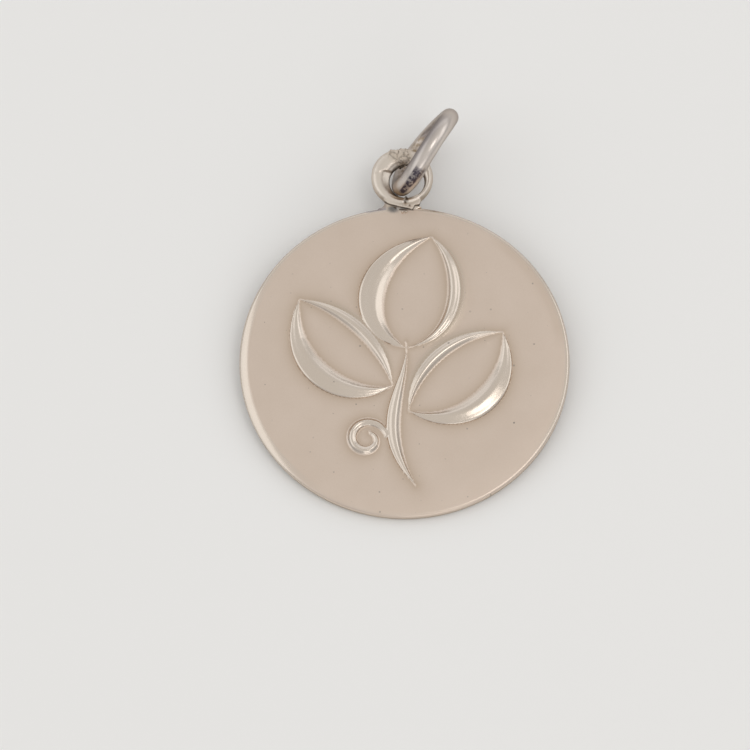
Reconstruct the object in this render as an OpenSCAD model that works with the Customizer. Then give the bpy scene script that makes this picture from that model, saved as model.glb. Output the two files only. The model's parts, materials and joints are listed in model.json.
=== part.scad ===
// Round disc pendant with a raised sprig, a soldered eyelet and a loose jump ring.
// It lies face up: the disc leans on its lower rim and on the jump ring.

/* [Disc] */
// Outer diameter of the disc
disc_d = 25; // [18:0.5:36]
// Thickness of the disc at its middle
disc_t = 0.8; // [0.6:0.05:1.6]
// Radius that rounds both edges of the rim
edge_round = 0.27; // [0.1:0.01:0.34]
// Width of the outer band of the face that falls away to the rim
fall_w = 2; // [0.8:0.1:3]
// How far the face falls at the rim
fall_h = 0.07; // [0:0.01:0.12]

/* [Relief] */
// Bare border between the raised sprig and the rim
border = 2.3; // [1.5:0.1:4]
// Width of the boldest stroke
stroke_w = 2.1; // [1.2:0.05:2.6]
// Height of the boldest stroke above the face
relief_h = 0.4; // [0.25:0.01:0.7]
// Width of every stroke at its tips
tip_w = 0.14; // [0.08:0.01:0.3]
// Height of every stroke at its tips
tip_h = 0.05; // [0.03:0.01:0.12]
// Outer radius of the curl beside the stem, at the middle of its stroke
curl_r = 1.55; // [1.1:0.05:1.9]
// Width of the curl's stroke
curl_w = 0.75; // [0.5:0.05:0.85]

/* [Eyelet] */
// Outer diameter of the eyelet
eyelet_od = 4.7; // [4.2:0.1:6]
// Thickness of the eyelet's wire from front to back
eyelet_wire = 1; // [0.8:0.02:1.2]
// Diameter of the eyelet's hole
hole_d = 2.7; // [2.5:0.05:3]
// How far the hole is worn off the eyelet's middle to the +X side
hole_side = 0.22; // [0:0.01:0.3]
// How far the hole is worn off the eyelet's middle towards the disc
hole_down = 0.3; // [0:0.01:0.32]
// Gap between the rim and the eyelet, which the solder fills
eyelet_gap = 0.1; // [0.02:0.01:0.2]
// Radius of the solder's fillet on each side of the eyelet
solder_r = 0.3; // [0.15:0.05:0.6]
// Thickness of the solder
solder_t = 0.62; // [0.4:0.02:0.75]

/* [Jump ring] */
// Outer diameter of the jump ring
ring_od = 7.75; // [6.5:0.05:10]
// Thickness of the jump ring's wire
ring_wire = 1.38; // [1:0.02:1.6]
// Direction of the ring's plane, measured in the face from the +X side
ring_turn = 58.5; // [40:0.5:75]
// Lean of the ring's plane from upright on the face
ring_lean = 17.5; // [0:0.5:25]
// How far round the eyelet's wire the ring is lifted
ring_lift = 24; // [18:0.5:40]
// Clearance between the ring and the wire of the eyelet
ring_clearance = 0.14; // [0.1:0.01:0.3]

/* [Hidden] */
$fn = 96;

disc_r = disc_d / 2;
face_z = disc_t / 2;
// The rim's rounding is limited by the thickness that is left at the rim
RIM_SHARE = 0.47;
rim_round = min(edge_round, RIM_SHARE * (disc_t - fall_h));
rim_top_z = face_z - fall_h - rim_round;
rim_low_z = rim_round - disc_t / 2;
ornament_r = disc_r - border;

// Points on each rounded edge of the rim, and along the falling band of the face
EDGE_STEPS = 6;
FALL_STEPS = 6;

// Sprig: each row is a stroke along a curve with two handles.
// Columns: start x, start y, first handle x, y, second handle x, y, end x, y,
// all as shares of the ornament's radius, then width as a share of the boldest,
// height as a share of the boldest, place of the widest point along the stroke,
// and the side of the steep edge: 1 is left of the way it runs, -1 is right.
STROKES = [
    [ 0.00,  0.10, -0.40,  0.28, -0.30,  0.82,  0.20,  0.98, 1.00, 1.00, 0.50, -1],
    [ 0.03,  0.10,  0.44,  0.20,  0.45,  0.75,  0.20,  0.98, 0.50, 0.80, 0.52,  1],
    [-0.09, -0.20, -0.42, -0.36, -0.92, -0.06, -0.78,  0.48, 0.92, 0.95, 0.52, -1],
    [-0.09, -0.20, -0.16,  0.12, -0.42,  0.40, -0.78,  0.48, 0.48, 0.75, 0.50,  1],
    [ 0.03, -0.40,  0.44, -0.58,  0.84, -0.24,  0.73,  0.22, 0.92, 0.95, 0.52,  1],
    [ 0.03, -0.40,  0.06, -0.08,  0.34,  0.22,  0.73,  0.22, 0.46, 0.75, 0.50, -1],
    [ 0.01,  0.14,  0.04, -0.22, -0.26, -0.50,  0.08, -0.98, 0.55, 0.85, 0.62,  1]
];
// Curl: centre x and y as shares of the ornament's radius, the angle where it starts,
// how far it winds, and its inner radius as a share of the outer one
CURL = [-0.28, -0.62, 12, 410, 0.36];
// Height of the curl as a share of the boldest stroke, the stretch of a stroke's
// swelling that it runs through, and where that swelling is widest
CURL_HEIGHT = 0.7;
CURL_FROM = 0.16;
CURL_TO = 0.88;
CURL_WIDEST = 0.45;
// Fullness of the strokes' outlines and of their ridges: smaller is blunter at the tips
OUTLINE_POWER = 0.85;
RIDGE_POWER = 0.7;
// Section across a stroke, from its soft edge to its steep edge.
// Columns: place across as a share of half the width, height as a share of the ridge.
SECTION = [
    [-1.00, 0.00],
    [-0.88, 0.36],
    [-0.55, 0.57],
    [-0.10, 0.84],
    [ 0.20, 0.98],
    [ 0.48, 0.96],
    [ 0.84, 0.44],
    [ 1.00, 0.00]
];
// Steps along a stroke and along the curl
STROKE_STEPS = 22;
CURL_STEPS = 36;
// The strokes' bases go this share of the thickness into the disc, and each
// stroke a little deeper than the one before, so that no two bases share a plane
BASE_SINK = 0.30;
BASE_STEP = 0.03;

eyelet_r = (eyelet_od - eyelet_wire) / 2;
eyelet_y = disc_r + eyelet_gap + eyelet_od / 2;
// Centre of the hole, from the eyelet's, and the radius that rounds the hole's edge,
// a little over half the wire so that it runs out through the flat sides
hole_at = [hole_side, -hole_down];
HOLE_ROUND_SHARE = 0.52;
hole_round = HOLE_ROUND_SHARE * eyelet_wire;
hole_edge_r = hole_d / 2 + hole_round;

// The fillet's centre touches the rim and the eyelet
fillet_y = (pow(disc_r + solder_r, 2) - pow(eyelet_od / 2 + solder_r, 2) + eyelet_y * eyelet_y)
    / (2 * eyelet_y);
fillet_x = sqrt(pow(disc_r + solder_r, 2) - fillet_y * fillet_y);

// Level line in the ring's plane, the plane's normal and its upward direction
ring_r = (ring_od - ring_wire) / 2;
ring_level = [cos(ring_turn), sin(ring_turn), 0];
ring_normal = [-sin(ring_turn) * cos(ring_lean), cos(ring_turn) * cos(ring_lean), sin(ring_lean)];
ring_up = cross(ring_level, ring_normal);
// Where the level line through the eyelet's centre meets the middle of the rounded
// edge on the hole's near side
hole_along = hole_at * [cos(ring_turn), sin(ring_turn)];
near_side = hole_round - hole_along
    + sqrt(pow(hole_along, 2) - hole_at * hole_at + pow(hole_d / 2, 2));
// Distance from the eyelet's centre to the ring's, where the ring's wire
// clears that edge
ring_reach = ring_r + ring_wire / 2 + hole_round + ring_clearance;
ring_shift = sqrt(pow(ring_reach, 2) - pow(near_side * sin(ring_lift), 2))
    - near_side * cos(ring_lift);
ring_centre = [0, eyelet_y, 0] + ring_shift * cos(ring_lift) * ring_level
    + ring_shift * sin(ring_lift) * ring_up;

// World directions up and along, in the disc's own frame, at a tilt
function up_at(tilt) = [0, sin(tilt), cos(tilt)];
function along_at(tilt) = [0, cos(tilt), -sin(tilt)];
// How far a ring of wire reaches from its centre in a direction
function torus_reach(normal, direction, radius, wire) =
    radius * sqrt(1 - pow(normal * direction, 2)) + wire / 2;
function disc_low(tilt) =
    -(disc_r - rim_round) * sin(tilt) + rim_low_z * cos(tilt) - rim_round;
function eyelet_low(tilt) =
    eyelet_y * sin(tilt) - torus_reach([0, 0, 1], up_at(tilt), eyelet_r, eyelet_wire);
function ring_low(tilt) =
    ring_centre * up_at(tilt) - torus_reach(ring_normal, up_at(tilt), ring_r, ring_wire);
// Tilt at which the rim and the lower of the ring and the eyelet are level
function rest_between(low, high, steps) =
    steps == 0 ? (low + high) / 2
    : min(ring_low((low + high) / 2), eyelet_low((low + high) / 2)) < disc_low((low + high) / 2)
        ? rest_between((low + high) / 2, high, steps - 1)
        : rest_between(low, (low + high) / 2, steps - 1);
MAX_TILT = 30;
REST_STEPS = 40;
rest_tilt = rest_between(0, MAX_TILT, REST_STEPS);
rest_z = -disc_low(rest_tilt);

// Ends of the whole pendant along Y, so that the origin lies under its middle
south_y = -(disc_r - rim_round) * cos(rest_tilt) - rim_top_z * sin(rest_tilt) - rim_round;
eyelet_north = eyelet_y * cos(rest_tilt)
    + torus_reach([0, 0, 1], along_at(rest_tilt), eyelet_r, eyelet_wire);
ring_north = ring_centre * along_at(rest_tilt)
    + torus_reach(ring_normal, along_at(rest_tilt), ring_r, ring_wire);
middle_y = (south_y + max(eyelet_north, ring_north)) / 2;

// Height of the face at a distance from the disc's middle
function fall_at(share) = fall_h * pow(share, 2);

// Half of the disc's section, from the middle of the back round to the middle of the face
function rim_arc(centre_z, from_angle) = [
    for (i = [0 : EDGE_STEPS])
        let (angle = from_angle + 90 * i / EDGE_STEPS)
        [disc_r - rim_round + rim_round * cos(angle), centre_z + rim_round * sin(angle)]
];
function face_fall() = [
    for (i = [FALL_STEPS - 1 : -1 : 0])
        [disc_r - rim_round - fall_w * (1 - i / FALL_STEPS), face_z - fall_at(i / FALL_STEPS)]
];

// Point and direction along a curve with two handles
function curve_at(s, t) =
    pow(1 - t, 3) * [s[0], s[1]] + 3 * pow(1 - t, 2) * t * [s[2], s[3]]
    + 3 * (1 - t) * t * t * [s[4], s[5]] + t * t * t * [s[6], s[7]];
function slope_at(s, t) =
    pow(1 - t, 2) * [s[2] - s[0], s[3] - s[1]] + 2 * (1 - t) * t * [s[4] - s[2], s[5] - s[3]]
    + t * t * [s[6] - s[4], s[7] - s[5]];
function unit(v) = v / norm(v);
function left_of(v) = [-v[1], v[0]];
// Swelling of a stroke: nothing at its tips, 1 where it is widest
function swell(t, widest) =
    pow(max(0, sin(180 * pow(t, ln(0.5) / ln(widest)))), OUTLINE_POWER);

// Stations along a stroke. Columns: point, direction to the steep edge, half width, height.
function stroke_stations(s) = [
    for (i = [0 : STROKE_STEPS])
        let (t = i / STROKE_STEPS, full = swell(t, s[10]))
        [
            ornament_r * curve_at(s, t),
            s[11] * left_of(unit(slope_at(s, t))),
            max(tip_w, stroke_w * s[8] * full) / 2,
            max(tip_h, relief_h * s[9] * pow(full, RIDGE_POWER))
        ]
];
function curl_stations() = [
    for (i = [0 : CURL_STEPS])
        let (
            t = i / CURL_STEPS,
            angle = CURL[2] + CURL[3] * t,
            radius = curl_r * (1 - (1 - CURL[4]) * t),
            full = swell(CURL_FROM + (CURL_TO - CURL_FROM) * t, CURL_WIDEST)
        )
        [
            ornament_r * [CURL[0], CURL[1]] + radius * [cos(angle), sin(angle)],
            [cos(angle), sin(angle)],
            curl_w * full / 2,
            max(tip_h, relief_h * CURL_HEIGHT * full)
        ]
];

// A raised stroke: the section is carried along the stations, and its base is in the disc
module raised_stroke(stations, sink, steep_left) {
    section_count = len(SECTION) + 2;
    last = len(stations) - 1;
    points = [
        for (s = stations)
            let (
                ring = concat(
                    [[-1, -sink]],
                    [for (c = SECTION) [c[0], c[1] * s[3]]],
                    [[1, -sink]]
                )
            )
            for (c = ring)
                [s[0][0] + s[1][0] * s[2] * c[0], s[0][1] + s[1][1] * s[2] * c[0], face_z + c[1]]
    ];
    sides = [
        for (i = [0 : last - 1], j = [0 : section_count - 1])
            let (
                a = i * section_count + j,
                b = i * section_count + (j + 1) % section_count,
                c = a + section_count,
                d = b + section_count
            )
            each [[a, b, d], [a, d, c]]
    ];
    ends = [
        [for (j = [section_count - 1 : -1 : 0]) j],
        [for (j = [0 : section_count - 1]) last * section_count + j]
    ];
    faces = concat(sides, ends);
    flipped = [for (f = faces) [for (k = [len(f) - 1 : -1 : 0]) f[k]]];
    polyhedron(points, steep_left ? faces : flipped, convexity = 6);
}

// Turned so that a mesh made of the disc has a corner at the lowest point of the rim
module disc_plate() {
    rotate([0, 0, -90])
        rotate_extrude()
            polygon(concat(
                [[0, -disc_t / 2]],
                rim_arc(rim_low_z, -90),
                rim_arc(rim_top_z, 0),
                face_fall(),
                [[0, face_z]]
            ));
}

module sprig() {
    for (i = [0 : len(STROKES) - 1])
        raised_stroke(
            stroke_stations(STROKES[i]),
            disc_t * (BASE_SINK + BASE_STEP * i),
            STROKES[i][11] > 0
        );
    raised_stroke(curl_stations(), disc_t * (BASE_SINK + BASE_STEP * len(STROKES)), false);
}

module wire_ring(radius, wire) {
    rotate_extrude()
        translate([radius, 0])
            circle(d = wire);
}

// A round outer edge, and a hole with a round edge that has worn off centre
module eyelet() {
    translate([0, eyelet_y, 0])
        difference() {
            rotate_extrude()
                union() {
                    translate([0, -eyelet_wire / 2])
                        square([eyelet_r, eyelet_wire]);
                    translate([eyelet_r, 0])
                        circle(d = eyelet_wire);
                }
            translate([hole_at[0], hole_at[1], 0])
                rotate_extrude()
                    difference() {
                        translate([0, -eyelet_wire])
                            square([hole_edge_r, 2 * eyelet_wire]);
                        translate([hole_edge_r, 0])
                            circle(hole_round);
                    }
        }
}

// Solder between the rim and the eyelet, hollowed by a fillet on each side
module solder() {
    linear_extrude(solder_t, center = true)
        difference() {
            polygon([
                [0, disc_r - disc_t],
                [fillet_x, fillet_y],
                [0, eyelet_y - eyelet_r],
                [-fillet_x, fillet_y]
            ]);
            for (side = [-1, 1])
                translate([side * fillet_x, fillet_y])
                    circle(solder_r);
        }
}

// Lays the pendant down on Z = 0 with the origin under its middle
module at_rest() {
    translate([0, -middle_y, rest_z])
        rotate([rest_tilt, 0, 0])
            children();
}

module pendant_disc() {
    color([0.80, 0.75, 0.69])
        at_rest() {
            disc_plate();
            sprig();
            eyelet();
            solder();
        }
}

module jump_ring() {
    color([0.86, 0.84, 0.81])
        at_rest()
            translate(ring_centre)
                rotate([0, 0, ring_turn])
                    rotate([ring_lean - 90, 0, 0])
                        wire_ring(ring_r, ring_wire);
}

pendant_disc();
jump_ring();
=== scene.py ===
"""Looks of the round pendant: a satin disc with a raised polished sprig, a worn eyelet soldered
to its rim, and a jump ring. Shapes are made in millimetres in the disc's own frame (x to the
right, y to the eyelet, z out of the face) and then laid down in the part's frame."""

import json
import math

import bpy
import numpy as np
from mathutils import Matrix, Vector, noise
from mathutils.geometry import delaunay_2d_cdt


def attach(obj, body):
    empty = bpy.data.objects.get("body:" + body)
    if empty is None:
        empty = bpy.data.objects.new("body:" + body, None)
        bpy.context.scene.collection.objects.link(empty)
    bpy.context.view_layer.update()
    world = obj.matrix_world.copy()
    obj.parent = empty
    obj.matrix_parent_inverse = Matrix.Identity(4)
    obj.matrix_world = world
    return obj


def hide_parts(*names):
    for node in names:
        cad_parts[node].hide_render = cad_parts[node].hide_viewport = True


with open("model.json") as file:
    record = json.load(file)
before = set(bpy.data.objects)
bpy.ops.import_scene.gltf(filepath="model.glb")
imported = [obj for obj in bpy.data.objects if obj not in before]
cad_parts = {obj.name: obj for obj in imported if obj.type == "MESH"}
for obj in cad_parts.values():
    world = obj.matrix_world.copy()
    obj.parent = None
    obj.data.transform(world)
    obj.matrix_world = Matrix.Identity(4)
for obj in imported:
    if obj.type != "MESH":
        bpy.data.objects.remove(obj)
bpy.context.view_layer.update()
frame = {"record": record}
scene = bpy.context.scene

MM = 0.001

# Disc
DISC_R = 12.5
DISC_T = 0.8
RIM_ROUND = 0.27
FALL_W = 2.0
FALL_H = 0.07
FACE_Z = DISC_T / 2
RIM_TOP_Z = FACE_Z - FALL_H - RIM_ROUND
RIM_LOW_Z = RIM_ROUND - DISC_T / 2
# The face's mesh ends here and the rim's begins
FACE_R = DISC_R - 0.7
# The rim is worn round on the left: middle and spread in degrees, lowest edge, fullness
WORN_AT = 193
WORN_SPREAD = 38
WORN_Z = -0.05
WORN_POWER = 1.25

# Relief
BORDER = 2.3
ORNAMENT_R = DISC_R - BORDER
STROKE_W = 2.1
RELIEF_H = 0.40
TIP_W = 0.14
TIP_H = 0.05
CURL_R = 1.55
CURL_W = 0.75

# Strokes: start, first handle, second handle and end, as shares of the ornament's radius, then
# width and height as shares of the boldest, where it is widest, and its steep side (1 is left)
STROKES = [
    [0.00, 0.10, -0.40, 0.28, -0.30, 0.82, 0.20, 0.98, 1.00, 1.00, 0.50, -1],
    [0.03, 0.10, 0.44, 0.20, 0.45, 0.75, 0.20, 0.98, 0.50, 0.80, 0.52, 1],
    [-0.09, -0.20, -0.42, -0.36, -0.92, -0.06, -0.78, 0.48, 0.92, 0.95, 0.52, -1],
    [-0.09, -0.20, -0.16, 0.12, -0.42, 0.40, -0.78, 0.48, 0.48, 0.75, 0.50, 1],
    [0.03, -0.40, 0.44, -0.58, 0.84, -0.24, 0.73, 0.22, 0.92, 0.95, 0.52, 1],
    [0.03, -0.40, 0.06, -0.08, 0.34, 0.22, 0.73, 0.22, 0.46, 0.75, 0.50, -1],
    [0.01, 0.14, 0.04, -0.22, -0.26, -0.50, 0.08, -0.98, 0.55, 0.85, 0.62, 1],
]
# Strokes narrower than this share have a soft bank outside and a crisp inner edge
FINE_SHARE = 0.52
# Curl: centre as shares of the ornament's radius, start angle, turn, inner share of its radius
CURL = [-0.28, -0.62, 12, 410, 0.36]
CURL_HEIGHT = 0.7
CURL_FROM = 0.16
CURL_TO = 0.88
CURL_WIDEST = 0.45
OUTLINE_POWER = 0.85
RIDGE_POWER = 0.7
# Section across a stroke from its soft edge to its steep one: place, height share
SECTION = [
    [-1.00, 0.00], [-0.95, 0.25], [-0.88, 0.42], [-0.50, 0.70], [-0.22, 0.91], [-0.08, 0.98],
    [0.02, 1.00], [0.14, 0.95], [0.34, 0.79], [0.64, 0.39], [0.82, 0.19], [0.91, 0.11],
    [1.00, 0.03], [1.07, 0.00],
]
# Foot of the steep side
FOOT = SECTION[-1][0]
# Soft bank outside a fine stroke, hollow inside a leaf, and the chased line along edges
BANK_SHARE = 0.36
BANK_W = 0.36
HOLLOW_FINE = 0.07
HOLLOW_BOLD = 0.03
HOLLOW_W = 0.9
CHASE_DEPTH = 0.025
CHASE_W = 0.05

# Hand finish: waves on the raised metal, as waves in a millimetre and height
WAVES = [[1.1, 0.0065], [3.2, 0.0018], [6.5, 0.0009]]
# Small bump on the face: its middle, radius and height
BUMP_AT = (6.25, 1.44)
BUMP_R = 0.13
BUMP_H = 0.022

# Spacing of the mesh over the relief and over the plain face
STATION = 0.09
ACROSS = [-1, -0.975, -0.95, -0.915, -0.88, -0.8, -0.7, -0.58, -0.46, -0.34, -0.23, -0.15,
          -0.08, -0.02, 0.05, 0.11, 0.18, 0.28, 0.4, 0.52, 0.64, 0.75, 0.83, 0.9, 0.95, 1, FOOT]
OUTSIDE = [0.05, 0.12, 0.26, 0.5]
CREASES = [-1, -0.94, 1]
CREASE_GAP = 0.02
ROW_GAP = 0.035
# Rings of points inside the face's edge, as distances from it
EDGE_RINGS = (0.06, 0.15, 0.28)
FACE_STEP = 0.32
FACE_GAP = 0.17
RIM_COUNT = 384
RIM_ANGLES = np.linspace(0, 2 * np.pi, RIM_COUNT, endpoint=False)
RIM_STEPS = 16
BACK_RADII = [11.4, 9.5, 7.0, 4.5, 2.0]

# Eyelet
EYELET_OD = 4.7
EYELET_WIRE = 1.0
EYELET_GAP = 0.1
HOLE_D = 2.7
HOLE_SIDE = 0.22
HOLE_DOWN = 0.3
EYELET_Y = DISC_R + EYELET_GAP + EYELET_OD / 2
# The wire's outer edge is bent a little off the eyelet's middle: x, y
BODY_AT = (-0.15, 0.05)
# Radius of the solder's fillet on the left and on the right
SOLDER_R = (0.55, 0.24)
SOLDER_T = 0.62
VOXEL = 0.036
# The skin shrinks by about this much when it is smoothed
SKIN = 0.015
SMOOTHINGS = 3
# Wire's overlap, from its end to where it has thinned out, in degrees
LAP_END = 166
LAP_OUT = 62
LAP_THICK = 0.10
# Slant of the overlap's end in degrees, and the file marks on it
LAP_SLANT = 13
MARKS = 5
MARK_DEPTH = 0.05
# How far the overlap tapers and the marks reach, in degrees, and how much further out it lies
LAP_TAPER = 20
MARK_REACH = 5
LAP_RAISED = 0.03
# How square the wire's section is, 2 being round, and its change round the eyelet
SQUARE = 2.15
SQUARE_CHANGE = 0.2
# The wire's inner side is filed to a slope from the overlap to here, and tapers out
FILED_TO = 250
FILED_TAPER = 30
FILED_DEPTH = 0.62
# Joint at the eyelet's bottom
JOINT_AT = 277
JOINT_WIDTH = 2.4
JOINT_DEPTH = 0.34
# Lip of wire hammered over the disc's edge, as corners from the eyelet's middle
LIP = [(-1.52, -1.98), (-1.30, -2.16), (-1.02, -2.28), (-0.31, -2.45), (0.12, -2.55),
       (0.46, -2.62), (0.575, -2.69), (0.69, -2.54), (0.80, -2.31), (1.00, -2.30), (1.18, -2.25),
       (1.24, -2.08), (1.27, -1.90)]
LIP_TOP = 0.45
LIP_INNER = 1.75
PIT = (0.41, -2.38)
PIT_R = 0.06
PIT_DEPTH = 0.15
# Open joint at the bottom, and cracks across the overlap's top, as corners from the middle
JOINT = [
    [(0.13, -1.50), (0.17, -1.84), (0.12, -2.16)],
    [(0.00, -1.98), (0.03, -2.07)],
]
CRACKS = [
    [(-1.16, 1.84), (-0.53, 1.29), (0.10, 0.92)],
    [(-0.42, 1.32), (-0.33, 1.56), (0.02, 1.66), (0.50, 1.44)],
    [(-0.40, 1.40), (-0.02, 1.12), (0.22, 1.16)],
    [(-0.04, 1.98), (0.04, 1.62)],
    [(-1.02, 2.02), (-0.66, 1.90)],
]
CRACK_W = 0.05
JOINT_W = 0.075
CRACK_DEPTH = 0.07
SEAM_DEPTH = 0.16
# How much a crack wanders aside, and its wiggles in a millimetre
CRACK_SHAKE = 0.07
SHAKES_PER_MM = 4
# Crumpled top: where it begins and is full on the right and on the left, in degrees
CRUMPLE_RIGHT = (62, 80)
CRUMPLE_LEFT = (132, 114)
# Its plates: how many in a millimetre, seed of their pattern, and how ragged their edges are
PLATES_PER_MM = 1.8
PLATES_SEED = 3
RAGGED = 0.35
RAGS_PER_MM = 3.5
# How far a plate stands out and how it tilts, with their spreads from plate to plate, and the
# lumps on it: height and how many in a millimetre
PLATE_STEP = 0.08
STEP_SPREAD = 5.3
PLATE_TILT = 0.30
TILT_SPREAD = 3.1
LUMPS = (0.05, 5.0)
# Uneven solder at the eyelet's bottom: from the middle down, height and lumps in a millimetre
UNEVEN_FROM = (-2.0, -2.2)
UNEVEN = (0.02, 4.0)
# Lumps push the skin out from the middle, this much more along the eyelet's axis
PUSH_UP = 1.5

# Jump ring
RING_OD = 7.75
RING_WIRE = 1.38
# Faint dents: depth, how many in a millimetre, and how much thinner the wire is for them
DENTS = (0.008, 0.8, 0.004)
# How far the wire is sprung out of one plane
RING_BEND = 0.13
# Closed joint of the ring: where it is and its groove's half width in degrees, and its depth
RING_SEAM = 178
SEAM_WIDTH = 1.1
SEAM_GROOVE = 0.05
# How the ring's low end reaches out and is fuller: middle and spread in degrees, and how much
REACH_OUT = (182, 30, 0.20)
FULLER = (212, 24, 0.10)


def mount(name):
    """Place and direction of one of the part's mounts."""
    found = next(m for m in frame["record"]["mounts"] if m["name"] == name)
    return Vector(found["pos_m"]), Vector(found["axis"]).normalized()


def laid_at(place, x, y, z):
    """Matrix that lays millimetres along three directions at a place in the part's frame."""
    turn = Matrix((x, y, z)).transposed().to_4x4()
    return Matrix.Translation(place) @ turn @ Matrix.Scale(MM, 4)


def disc_to_part():
    """Matrix of the disc's own frame."""
    place, axis = mount("back_face")
    up = -axis
    side = Vector((1, 0, 0))
    return laid_at(place + up * (DISC_T / 2 * MM), side, up.cross(side).normalized(), up)


TO_PART = disc_to_part()


def ring_to_part():
    """Matrix of the jump ring's own frame: x level, y down, z along its axis."""
    place, axis = mount("chain_opening")
    level = axis.cross(TO_PART.col[2].to_3d()).normalized()
    return laid_at(place, level, axis.cross(level), axis)


# Curves of the relief

def smoothstep(low, high, x):
    t = np.clip((x - low) / (high - low), 0, 1)
    return t * t * (3 - 2 * t)


def fade(band, x):
    """Rises smoothly from 0 at a band's first value to 1 at its second."""
    return smoothstep(band[0], band[1], x)


def swell(t, widest):
    """Fullness along a stroke, from 0 at its ends to 1 where it is widest."""
    turn = np.pi * t ** (math.log(0.5) / math.log(widest))
    return np.maximum(0, np.sin(turn)) ** OUTLINE_POWER


def monotone(table, x):
    """Smooth curve through the rows of a table, with no overshoot between them."""
    px, py = np.array(table, float).T
    step = np.diff(px)
    rise = np.diff(py) / step
    slope = np.concatenate(([rise[0]], (rise[1:] + rise[:-1]) / 2, [rise[-1]]))
    slope[1:-1][rise[1:] * rise[:-1] <= 0] = 0
    limit = 3 * np.abs(rise)
    limit = np.minimum(np.append(limit[0], limit), np.append(limit, limit[-1]))
    slope = np.clip(slope, -limit, limit)
    k = np.clip(np.searchsorted(px, x) - 1, 0, len(step) - 1)
    t = np.clip((x - px[k]) / step[k], 0, 1)
    a = (1 + 2 * t) * (1 - t) ** 2 * py[k] + t * (1 - t) ** 2 * slope[k] * step[k]
    b = t * t * (3 - 2 * t) * py[k + 1] + t * t * (t - 1) * slope[k + 1] * step[k]
    return a + b


def curve_samples(s, t):
    """Points and ways along a stroke's curve."""
    p = np.array(s[:8]).reshape(4, 2)
    t = t[:, None]
    at = (1 - t) ** 3 * p[0] + 3 * (1 - t) ** 2 * t * p[1] + 3 * (1 - t) * t * t * p[2] + t ** 3 * p[3]
    way = (1 - t) ** 2 * (p[1] - p[0]) + 2 * (1 - t) * t * (p[2] - p[1]) + t * t * (p[3] - p[2])
    return ORNAMENT_R * at, way / np.linalg.norm(way, axis=1)[:, None]


class Stroke:
    """Centre line of a raised stroke with its normals, half widths and ridge heights."""

    SAMPLES = 420
    # Points that are measured at a time
    CHUNK = 4000

    def __init__(self, centre, steep_way, half, height, fine):
        self.centre = centre
        self.steep_way = steep_way
        self.half = half
        self.height = height
        self.fine = fine
        steps = np.linalg.norm(np.diff(centre, axis=0), axis=1)
        self.run = np.concatenate(([0], np.cumsum(steps)))

    def rows(self):
        """Stations at an even spacing: points, ways to the steep edge and half widths."""
        count = max(8, int(self.run[-1] / STATION))
        at = np.linspace(0, self.run[-1], count)
        pick = [np.interp(at, self.run, c) for c in (*self.centre.T, *self.steep_way.T, self.half)]
        way = np.stack(pick[2:4], 1)
        way /= np.linalg.norm(way, axis=1)[:, None]
        return np.stack(pick[:2], 1), way, pick[4]

    def nearest(self, points):
        """Distance to the steep side, below zero on the other, with the half width and height."""
        index = np.empty(len(points), int)
        for start in range(0, len(points), self.CHUNK):
            part = slice(start, start + self.CHUNK)
            index[part] = ((points[part, None] - self.centre) ** 2).sum(2).argmin(1)
        off = points - self.centre[index]
        way = self.steep_way[index]
        across = (off * way).sum(1)
        along = off[:, 0] * way[:, 1] - off[:, 1] * way[:, 0]
        end = (index == 0) | (index == len(self.centre) - 1)
        past = np.where(end, np.abs(along), 0)
        side = np.where(across < 0, -1, 1)
        return side * np.hypot(across, past), self.half[index], self.height[index]

    def lift(self, points):
        """Height over the face at points, below zero in a hollow or a chased line."""
        across, half, height = self.nearest(points)
        place = across / half
        share = np.where((place > -1) & (place < FOOT), monotone(SECTION, place), 0)
        depth = (HOLLOW_FINE if self.fine else HOLLOW_BOLD) * height / RELIEF_H
        to_steep = smoothstep(0.2, 1.0, place)
        raised = share * height - depth * (1 - share) * to_steep
        inner = np.maximum(across - half * FOOT, 0)
        outer = np.maximum(-half - across, 0)
        hollow = -depth * np.exp(-inner / HOLLOW_W)
        line = outer / CHASE_W
        chased = -CHASE_DEPTH * (height / RELIEF_H) * line * np.exp(1 - line)
        out = np.where(place > FOOT, hollow, np.where(place < -1, chased, raised))
        if self.fine:
            bank = BANK_SHARE * height * np.exp(-(outer / BANK_W) ** 2) * smoothstep(0.3, -0.6, place)
            out = np.where(place < 0.3, np.maximum(out, bank), out)
        return out


def sprig_strokes():
    t = np.linspace(0, 1, Stroke.SAMPLES)
    made = []
    for s in STROKES:
        centre, way = curve_samples(s, t)
        full = swell(t, s[10])
        half = np.maximum(TIP_W, STROKE_W * s[8] * full) / 2
        height = np.maximum(TIP_H, RELIEF_H * s[9] * full ** RIDGE_POWER)
        left = np.stack((-way[:, 1], way[:, 0]), 1)
        made.append(Stroke(centre, s[11] * left, half, height, s[8] < FINE_SHARE))
    angle = np.radians(CURL[2] + CURL[3] * t)
    radius = CURL_R * (1 - (1 - CURL[4]) * t)
    out = np.stack((np.cos(angle), np.sin(angle)), 1)
    full = swell(CURL_FROM + (CURL_TO - CURL_FROM) * t, CURL_WIDEST)
    centre = ORNAMENT_R * np.array(CURL[:2]) + radius[:, None] * out
    height = np.maximum(TIP_H, RELIEF_H * CURL_HEIGHT * full)
    made.append(Stroke(centre, out, CURL_W * full / 2, height, False))
    return made


SPRIG = sprig_strokes()


def relief_at(points):
    """Height of the relief over the face."""
    lifts = np.array([s.lift(points) for s in SPRIG])
    top = lifts.max(0)
    return np.where(top > 0, top, lifts.min(0))


def hand_finish_at(points, lift):
    """Faint waves where the metal is raised, and the small bump."""
    raised = smoothstep(0.02, 0.12, lift)
    out = BUMP_H * np.exp(-((points - BUMP_AT) ** 2).sum(1) / BUMP_R ** 2)
    for per_mm, size in WAVES:
        wave = [noise.noise(Vector((x * per_mm, y * per_mm, per_mm))) for x, y in points]
        out += raised * size * np.array(wave)
    return out


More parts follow.
